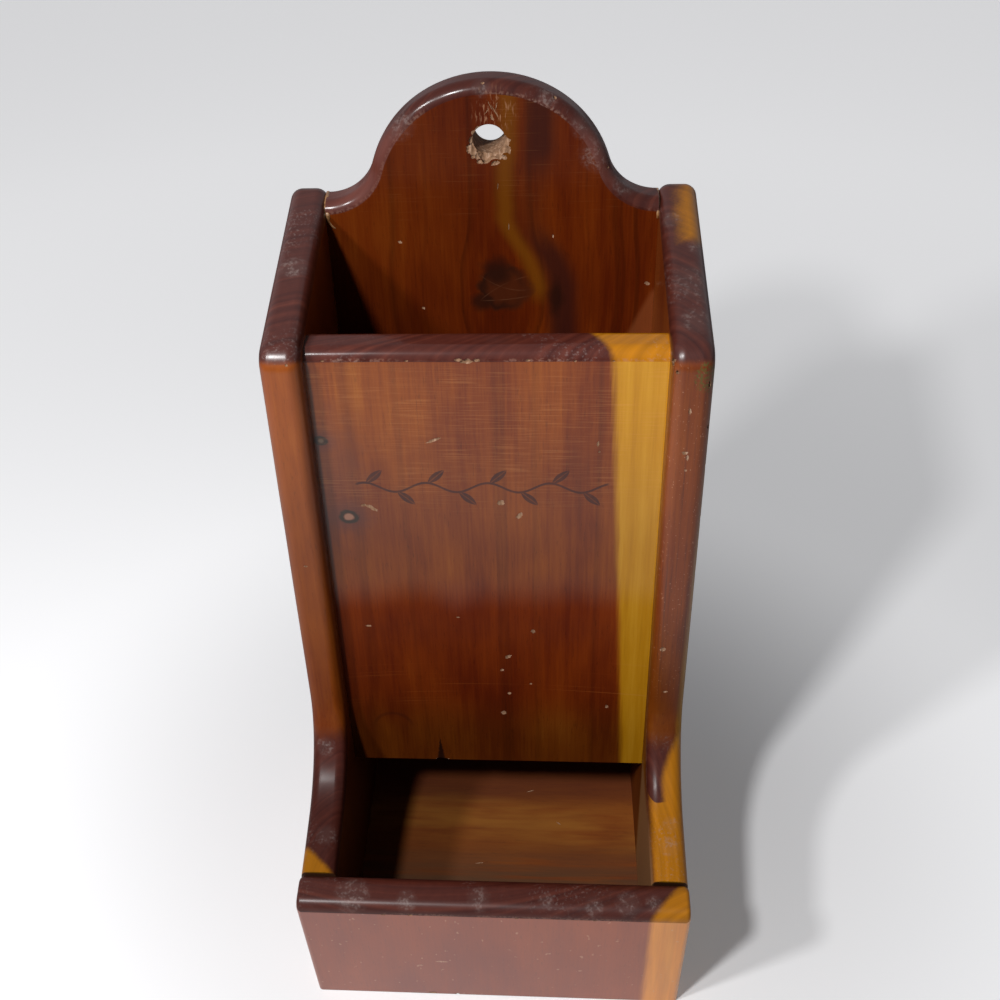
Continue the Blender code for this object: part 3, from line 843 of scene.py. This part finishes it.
def make_back_board(wood, bare):
    half = INNER - TINY
    head_radius = (half ** 2 + HEAD_RISE ** 2) / (2 * HEAD_RISE) - SHOULDER_HOLLOW
    head_height = TOP - head_radius
    hollow_height = SHOULDER_HEIGHT + SHOULDER_HOLLOW
    meeting = math.atan2(hollow_height - head_height, half)
    hollow = arc((half, hollow_height), SHOULDER_HOLLOW, -math.pi / 2, meeting - math.pi, 14)
    head = arc((0, head_height), head_radius, meeting, math.pi - meeting, 64)
    right = [(half, 0)] + hollow
    left = [(-across, up) for across, up in reversed(right)]
    outline = stepped(right + head[1:-1] + left)
    board = sawn_board("cedar_back_board", outline, facing_y, BACK_FRONT, REAR)

    def along_the_top(middle, way):
        return abs(way.y) < 0.5 and middle.z > SHOULDER_HEIGHT - TINY and (
            middle.y < BACK_FRONT + TINY or middle.y > REAR - TINY)

    ease(board, EASE, along_the_top)
    frame_faces(board)
    hand_worked(board, 0.00016, (1, 0, 1), lambda place: place.z < SHOULDER_HEIGHT - 0.012)
    in_cells(board, (0, 2))
    varnish(board, wood, bare)

    bpy.ops.mesh.primitive_cylinder_add(
        vertices=72, radius=HOLE_RADIUS, depth=BOARD * 1.6,
        location=(0, (BACK_FRONT + REAR) / 2, HOLE_HEIGHT), rotation=(math.pi / 2, 0, 0))
    drill = bpy.context.object
    bpy.ops.object.transform_apply()
    cut_out(board, [drill])
    face = BACK_FRONT / MM
    torn = [gouge(
        (0.0, BACK_FRONT - 0.0006, HOLE_HEIGHT - 0.0010), (0.0051, 0.0022, 0.0049), rough=0.30, fineness=5)]
    for x, z, wide, high, turn in (
            (-4.7, 217.6, 0.7, 1.0, 20), (4.6, 217.0, 0.6, 1.1, -15), (-2.2, 213.9, 0.9, 0.6, 10),
            (1.4, 213.5, 1.0, 0.6, -8), (3.6, 214.9, 0.7, 0.6, 30), (-4.0, 215.2, 0.6, 0.5, 0),
            (-5.0, 216.4, 0.3, 0.3, 0)):
        torn.append(chip((x, face, z), (wide, 0.4, high), turn))
    chips = []
    for x, z, wide, high, turn in (
            (0.5, 227.9, 0.13, 1.3, -24), (1.6, 226.5, 0.14, 1.6, -30), (1.9, 227.6, 0.09, 1.3, 16),
            (-0.3, 226.6, 0.10, 0.9, 34), (0.9, 224.9, 0.30, 0.7, -30), (1.9, 207.5, 0.12, 0.8, 6),
            (4.4, 196.4, 0.12, 1.0, 2), (15.4, 193.8, 0.2, 0.5, 0), (-23.1, 192.5, 0.5, 0.35, 20),
            (-18.2, 173.3, 0.35, 0.5, -30), (39.4, 180.2, 0.7, 0.45, 25)):
        chips.append(chip((x, face, z), (wide, 0.12, high), turn))
    for x, y, z, size in (
            (-1.2, 44.0, 232.9, 0.45), (15.6, 44.4, 229.0, 0.6), (12.2, 43.1, 226.6, 0.3),
            (26.0, 43.6, 216.4, 0.35), (-22.6, 43.1, 218.6, 0.3), (-33.8, 43.2, 202.0, 0.35),
            (28.4, 43.9, 211.6, 0.4)):
        chips.append(chip((x, y, z), (size, size * 0.7, size * 0.8)))
    cut_out(board, torn)
    cut_out(board, chips)
    polish(board)
    stand_for(board, "back_board")


def lip_line(up):
    """Where the sides and the floor end against the lip, by height."""
    return LIP_BACK_FOOT + GLUE_LINE - up * math.tan(LIP_LEAN)


def side_outline():
    rear_turn = math.pi / 2 + SIDE_TOP_SLOPE
    rear_run = SIDE_REAR_CORNER * math.tan(rear_turn / 2)
    rear = arc(
        (REAR - SIDE_REAR_CORNER, SIDE_REAR_HEIGHT - rear_run), SIDE_REAR_CORNER, 0, rear_turn, 14)
    front_top = SIDE_REAR_HEIGHT - (REAR - SIDE_FRONT) * math.tan(SIDE_TOP_SLOPE)
    front_run = SIDE_FRONT_CORNER * math.tan((math.pi / 2 - SIDE_TOP_SLOPE) / 2)
    front = arc(
        (SIDE_FRONT + SIDE_FRONT_CORNER, front_top - front_run), SIDE_FRONT_CORNER,
        math.pi / 2 + SIDE_TOP_SLOPE, math.pi, 14)
    rim_end = lip_line(RIM_HEIGHT)
    hollow_y = SIDE_FRONT - SIDE_HOLLOW
    below = RIM_HEIGHT + (hollow_y - rim_end) * math.tan(RIM_SLOPE)
    hollow = arc(
        (hollow_y, below + SIDE_HOLLOW / math.cos(RIM_SLOPE)), SIDE_HOLLOW, 0, RIM_SLOPE - math.pi / 2, 20)
    return stepped([(REAR, 0)] + rear + front + hollow + [(rim_end, RIM_HEIGHT), (lip_line(0), 0)])


def make_side(name, hand, node, wood, bare, chips):
    inner, outer = hand * INNER, hand * HALF_WIDTH
    board = sawn_board(name, side_outline(), facing_x, min(inner, outer), max(inner, outer))

    def in_the_open(middle, way):
        along_face = abs(way.x) < 0.5
        return along_face and middle.z > TINY and abs(middle.y - lip_line(middle.z)) > TINY

    ease(board, EASE, in_the_open)
    frame_faces(board)

    def held(place):
        bears = abs(place.x - inner) < EASE / 2
        return bears or place.z < 0.002 or place.y < lip_line(place.z) + 0.002 or place.y > REAR - EASE

    hand_worked(board, 0.00014, (0, 1, 1), held)
    in_cells(board, (1, 2))
    varnish(board, wood, bare)
    cut_out(board, [chip(*each) for each in chips])
    polish(board)
    stand_for(board, node)


def make_front_panel(wood, bare):
    half = INNER - TINY
    foot, top = panel_low.z, panel_high.z
    corners = [(-half, foot), (half, foot), (half, top), (-half, top)]
    board = sawn_board("cedar_front_panel", stepped(corners), facing_y, PANEL_FRONT, panel_high.y)

    def along_the_top(middle, way):
        return abs(way.x) > 0.5 and middle.z > top - TINY

    ease(board, EASE, along_the_top)
    frame_faces(board)
    hand_worked(board, 0.00012, (0, 0, 1), lambda place: place.z < top - 0.004)
    in_cells(board, (0, 2))
    varnish(board, wood, bare)
    face = PANEL_FRONT / MM
    chips = []
    for x, z, wide, high, turn in (
            (-12.7, 164.2, 1.9, 0.40, -24), (2.8, 145.3, 0.9, 0.75, -10), (7.3, 141.3, 0.6, 1.1, 35),
            (25.9, 163.2, 0.3, 0.7, 0), (26.3, 160.9, 0.25, 0.3, 0), (-29.0, 143.6, 1.5, 0.5, 38),
            (-30.9, 144.4, 0.7, 0.4, -10), (-33.0, 103.2, 0.7, 0.35, 0), (-9.2, 106.7, 0.5, 0.25, 0),
            (10.5, 101.9, 0.6, 0.65, 0), (3.8, 92.3, 1.0, 0.55, -35), (2.0, 87.2, 0.5, 0.4, 0),
            (3.9, 78.2, 0.5, 0.5, 0), (2.2, 70.2, 0.7, 0.75, 0), (30.6, 73.4, 0.45, 0.6, 0),
            (9.8, 82.0, 0.35, 0.3, 0)):
        chips.append(chip((x, face, z), (wide, 0.16, high), turn))
    for x, up, wide, size in (
            (-6.0, 0.5, 0.9, 0.42), (-4.0, 0.1, 1.5, 0.60), (-1.8, 0.4, 0.8, 0.40), (9.7, 0.4, 0.5, 0.26),
            (20.2, 0.2, 0.4, 0.28), (-17.8, 0.3, 0.5, 0.22), (-36.9, 0.3, 0.6, 0.24), (28.8, 0.2, 0.4, 0.22)):
        chips.append(chip((x, face + 0.1, (top - EASE) / MM + up), (wide, size * 0.7, size)))
    chips.append(chip((-16.0, face + 0.1, foot / MM + 0.1), (1.8, 0.8, 0.5)))
    cut_out(board, chips)
    polish(board)
    stand_for(board, "front_panel")


def make_tray_floor(wood, bare):
    """The floor reaches from side to side, with its long edges just taken off."""
    back, top = floor_high.y, floor_high.z
    outline = [(back, 0), (back, top), (lip_line(top), top), (lip_line(0), 0)]
    half = INNER - TINY
    board = sawn_board("cedar_tray_floor", stepped(outline, 0.008), facing_x, -half, half)

    def long_top(middle, way):
        ends = abs(middle.y - back) < TINY or middle.y < lip_line(top) + TINY
        return abs(way.x) > 0.5 and middle.z > top - TINY and ends

    ease(board, EASE / 8, long_top, segments=3)
    frame_faces(board)
    in_cells(board, (0,))
    varnish(board, wood, bare)
    dents = [
        gouge(scaled(x, y, top / MM), scaled(long, wide, 0.10), (0, 0, math.radians(turn)))
        for x, y, long, wide, turn in (
            (9.0, 18.0, 1.3, 0.18, 20), (18.0, 6.0, 0.9, 0.15, -35), (-6.0, -9.0, 1.1, 0.16, 8),
            (27.0, -22.0, 0.6, 0.3, 0), (2.0, -19.0, 1.8, 0.14, -12))]
    cut_out(board, dents)
    polish(board)
    stand_for(board, "tray_floor")


def make_tray_lip(wood, bare):
    lean, upright = math.sin(LIP_LEAN), math.cos(LIP_LEAN)
    face_top = (LIP_FOOT - LIP_FACE * lean, LIP_FACE * upright)
    back_top = (face_top[0] + BOARD * upright, face_top[1] + BOARD * lean)
    outline = [(LIP_FOOT, 0), face_top, back_top, (LIP_BACK_FOOT, 0)]
    board = sawn_board("cedar_tray_lip", outline, facing_x, -HALF_WIDTH, HALF_WIDTH)

    def long_top(middle, way):
        return abs(way.x) > 0.5 and middle.z > LIP_FACE / 2

    ease(board, EASE, long_top)

    def round_the_ends(middle, way):
        return abs(abs(middle.x) - HALF_WIDTH) < TINY and middle.z > TINY

    ease(board, LIP_END_EASE, round_the_ends, segments=5)
    frame_faces(board)
    in_cells(board, (0,))
    varnish(board, wood, bare)

    def on_face(x, up):
        return Vector((x * MM, LIP_FOOT - up * MM * lean, up * MM * upright))

    chips = [
        gouge(on_face(x, up), scaled(*size), (LIP_LEAN, 0, 0))
        for x, up, size in (
            (-18.0, 0.6, (1.3, 0.5, 0.5)), (-10.9, 0.3, (0.8, 0.4, 0.4)), (-28.0, 48.4, (0.6, 0.2, 0.22)),
            (6.5, 48.5, (0.5, 0.2, 0.2)), (-21.0, 48.6, (0.6, 0.25, 0.3)), (26.5, 48.5, (0.5, 0.2, 0.2)))]
    chips.append(gouge((-0.0496, LIP_FOOT - 0.007, 0.0503), scaled(0.6, 0.5, 0.4)))
    cut_out(board, chips)
    polish(board)
    stand_for(board, "tray_lip")


def make_glue_bead(name, glue, blobs):
    """Squeezed-out glue: overlapping drops melted into one bead."""
    drops = []
    for (start, first), (end, last) in zip(blobs, blobs[1:]):
        for share in (0.0, 0.33, 0.67):
            place = [a + (b - a) * share for a, b in zip(start, end)]
            size = first + (last - first) * share
            drops.append(gouge(scaled(*place), scaled(size, size, size * 1.1), rough=0.25, fineness=2))
    bead = joined(drops)
    bead.name = bead.data.name = name
    modify(bead, "REMESH", mode="VOXEL", voxel_size=0.00022)
    modify(bead, "SMOOTH", iterations=3)
    bpy.ops.object.shade_smooth()
    bead.data.materials.clear()
    bead.data.materials.append(glue)
    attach(bead, "root")


# Studio

DIM_ROOM = (0.06, 0.063, 0.07, 1)
MIRRORED_ROOM = (0.51, 0.495, 0.52, 1)
SEEN_ROOM = (0.77, 0.77, 0.76, 1)
LAMP_TARGET = (0, 0, 0.1)
CAMERA_PLACE = (0.0135, -0.23964, 0.3376)


def make_floor():
    """A pale floor whose far part, where the lamps fade, is as light as the near part."""
    bpy.ops.mesh.primitive_plane_add(size=8, location=(0, 0, -0.0002))
    floor = bpy.context.object
    floor.name = "studio_floor"
    finish = Finish("pale_floor")
    away = (finish.x.squared() + finish.y.squared()).root()
    seen = finish.node("ShaderNodeLightPath", output="Is Camera Ray")
    level = 0.14 + away.rise(0.075, 0.200) * 0.26 + away.rise(0.20, 0.60) * 0.14
    finish.set(
        Base_Color=(0.84, 0.84, 0.85, 1), Roughness=0.6, Specular_IOR_Level=0.2,
        Emission_Color=finish.shaded((1.0, 1.0, 1.01, 1), level * seen), Emission_Strength=1.0)
    floor.data.materials.append(finish.material)


def make_light():
    """Two small lamps beside the camera, in a dim room that looks bright in reflections."""
    world = bpy.data.worlds.new("soft_room")
    bpy.context.scene.world = world
    world.use_nodes = True
    tree = world.node_tree
    background = tree.nodes["Background"]
    background.inputs["Strength"].default_value = 1.0
    path = tree.nodes.new("ShaderNodeLightPath")
    onward = background.inputs["Color"]
    for ray, colour in (("Is Camera Ray", SEEN_ROOM), ("Is Glossy Ray", MIRRORED_ROOM)):
        mix = tree.nodes.new("ShaderNodeMix")
        mix.data_type = "RGBA"
        tree.links.new(path.outputs[ray], mix.inputs[0])
        mix.inputs[7].default_value = colour
        tree.links.new(mix.outputs[2], onward)
        onward = mix.inputs[6]
    onward.default_value = DIM_ROOM

    for name, place, size, power in (
            ("near_lamp", (-0.160, -0.292, 0.480), 0.042, 1.75),
            ("left_lamp", (-0.301, -0.264, 0.453), 0.050, 1.35)):
        lamp_data = bpy.data.lights.new(name, "AREA")
        lamp_data.shape = "DISK"
        lamp_data.size = size
        lamp_data.energy = power
        lamp = bpy.data.objects.new(name, lamp_data)
        bpy.context.scene.collection.objects.link(lamp)
        lamp.location = place
        lamp.rotation_euler = (Vector(LAMP_TARGET) - lamp.location).to_track_quat("-Z", "Y").to_euler()
        lamp.visible_camera = False


def make_camera():
    data = bpy.data.cameras.new("high_front_view")
    data.sensor_width = 36
    data.lens = 45
    data.shift_x = 0.0431
    data.shift_y = -0.0714
    data.clip_start = 0.01
    camera = bpy.data.objects.new("high_front_view", data)
    bpy.context.scene.collection.objects.link(camera)
    right = Vector((0.997529, 0.058066, -0.039554))
    up = Vector((-0.001777, 0.583648, 0.812005))
    forward = Vector((-0.070236, 0.809928, -0.582309))
    turn = Matrix((right, up, -forward)).transposed().to_4x4()
    camera.matrix_world = Matrix.Translation(CAMERA_PLACE) @ turn
    bpy.context.scene.camera = camera


bpy.context.scene.view_settings.view_transform = "Standard"
make_camera()
make_light()
make_floor()

raw_wood = make_raw_wood()
make_back_board(
    cedar(
        "back_cedar", upright_back, (-0.052, 0.110), back_marks, seed=0.31, shine=(0.12, 0.38), gloss=0.20,
        tone=(0.60, 0.40, 0.30), line_depth=0.30, knots=((0.0030, 0.1785, 0.0070, 0.0130),),
        scuffs=(((26.6, 43.6, 215.9), 5.5), ((23.0, 44.0, 222.6), 4.0), ((-21.5, 44.0, 223.5), 4.5),
                ((-1.5, 43.6, 232.2), 2.6), ((33.0, 43.8, 207.5), 3.5), ((14.0, 44.0, 229.6), 3.0))),
    raw_wood)
make_side(
    "cedar_left_side", -1, "left_side",
    cedar(
        "left_side_cedar", upright_side, (-0.045, -0.030), left_side_marks, seed=0.47, shine=(0.90, 0.75),
        gloss=0.28, contrast=0.75, end_from=(0.30, 0.56), sapwood=left_sapwood,
        scuffs=(((-47.0, -13.0, 66.0), 3.0), ((-45.0, -33.0, 54.4), 3.0), ((-46.0, 20.0, 197.6), 4.0))),
    raw_wood,
    [((-46.2, -8.5, 128.8), (0.5, 0.25, 0.3), 0), ((-50.6, -6.0, 176.0), (0.3, 0.5, 0.8), 0),
     ((-50.7, -6.4, 151.0), (0.25, 0.4, 0.5), 0), ((-44.0, -8.2, 188.4), (0.4, 0.3, 0.3), 0)])
make_side(
    "cedar_right_side", 1, "right_side",
    cedar(
        "right_side_cedar", upright_side, (-0.040, 0.002), right_side_marks, seed=0.83, shine=(0.90, 0.70),
        gloss=0.30, contrast=0.75, end_from=(0.30, 0.56), sapwood=right_sapwood,
        scuffs=(((49.2, 14.0, 197.0), 7.0), ((47.5, 2.0, 193.6), 4.5), ((46.5, -34.0, 54.2), 3.0),
                ((47.2, -28.0, 55.6), 2.4), ((50.0, 26.0, 199.6), 3.5), ((43.5, 36.0, 202.0), 3.0))),
    raw_wood,
    [((41.9, -6.2, 188.0), (0.9, 0.8, 1.1), 15), ((42.6, -7.6, 186.2), (0.5, 0.4, 0.7), 0),
     ((45.8, -8.5, 176.2), (0.35, 0.2, 0.8), 0), ((45.4, -8.5, 164.6), (0.7, 0.22, 0.5), 0),
     ((46.1, -8.5, 163.2), (0.3, 0.2, 0.8), 0), ((45.9, -8.5, 159.6), (0.3, 0.2, 0.3), 0),
     ((50.6, -6.0, 158.8), (0.4, 0.6, 1.1), 0), ((50.7, -6.0, 142.4), (0.35, 0.6, 1.6), 0),
     ((50.7, -5.8, 126.0), (0.3, 0.5, 0.9), 0), ((50.7, -6.2, 114.1), (0.35, 0.6, 0.9), 0),
     ((43.9, -8.4, 101.2), (0.8, 0.35, 0.8), 0), ((48.5, -8.0, 92.6), (0.6, 0.3, 0.4), 0),
     ((45.5, -8.5, 85.5), (0.6, 0.25, 0.35), 0), ((50.2, -7.0, 171.0), (0.4, 0.4, 0.6), 0),
     ((49.6, -7.6, 183.0), (0.5, 0.4, 0.9), 0), ((45.5, 42.7, 201.7), (0.7, 0.8, 0.3), 0),
     ((42.4, 43.4, 201.4), (0.5, 0.7, 0.4), 0)])
make_front_panel(
    cedar(
        "panel_cedar", upright_back, (-0.070, 0.105), panel_marks, seed=0.12, shine=(0.85, 0.50),
        gloss=0.19, line_depth=0.15, knots=((*FAINT_KNOT, 0.0040, 0.0120),), sapwood=panel_sapwood),
    raw_wood)
make_tray_lip(
    cedar(
        "lip_cedar", leaning_lip, (-0.020, 0.090), lip_marks, seed=0.66, shine=(1.0, 0.36), gloss=0.32,
        coat_ior=1.6, tone=(1.65, 1.25, 1.1), contrast=0.5, line_depth=0.04, sapwood=lip_sapwood,
        scuffs=(((-3.3, -49.0, 50.8), 3.4), ((-36.2, -48.8, 50.8), 5.0), ((26.2, -50.0, 50.5), 2.8),
                ((34.9, -49.4, 50.8), 3.6), ((41.6, -49.0, 50.8), 2.6), ((14.0, -49.0, 50.8), 2.4),
                ((-22.0, -50.0, 50.6), 3.0))),
    raw_wood)
make_tray_floor(
    cedar(
        "floor_cedar", crosswise_floor, (0.010, -0.090), floor_marks, seed=0.95, shine=(0.45, 0.45),
        gloss=0.25, contrast=0.7),
    raw_wood)

glue = make_glue()
make_glue_bead("left_glue_bead", glue, [
    ((-41.3, 49.6, 203.0), 0.6), ((-41.3, 47.8, 202.8), 0.65), ((-41.1, 46.0, 202.2), 0.85),
    ((-40.95, 44.4, 201.2), 1.0), ((-40.95, 43.2, 199.9), 0.9), ((-40.9, 42.9, 198.7), 0.5),
    ((-40.4, 42.9, 197.7), 0.34), ((-39.7, 42.9, 196.9), 0.28), ((-38.9, 42.9, 196.2), 0.24)])
make_glue_bead("right_glue_bead", glue, [
    ((41.3, 49.8, 203.0), 0.42), ((41.3, 48.0, 202.8), 0.45), ((41.3, 46.2, 202.3), 0.48),
    ((41.3, 44.6, 201.4), 0.55), ((41.2, 43.3, 200.3), 0.55), ((41.1, 42.9, 199.4), 0.42),
    ((41.0, 42.9, 198.2), 0.30)])

brad_steel = make_brad_steel()
for name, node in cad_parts.items():
    if "brad" in name:
        node.material_slots[0].material = brad_steel
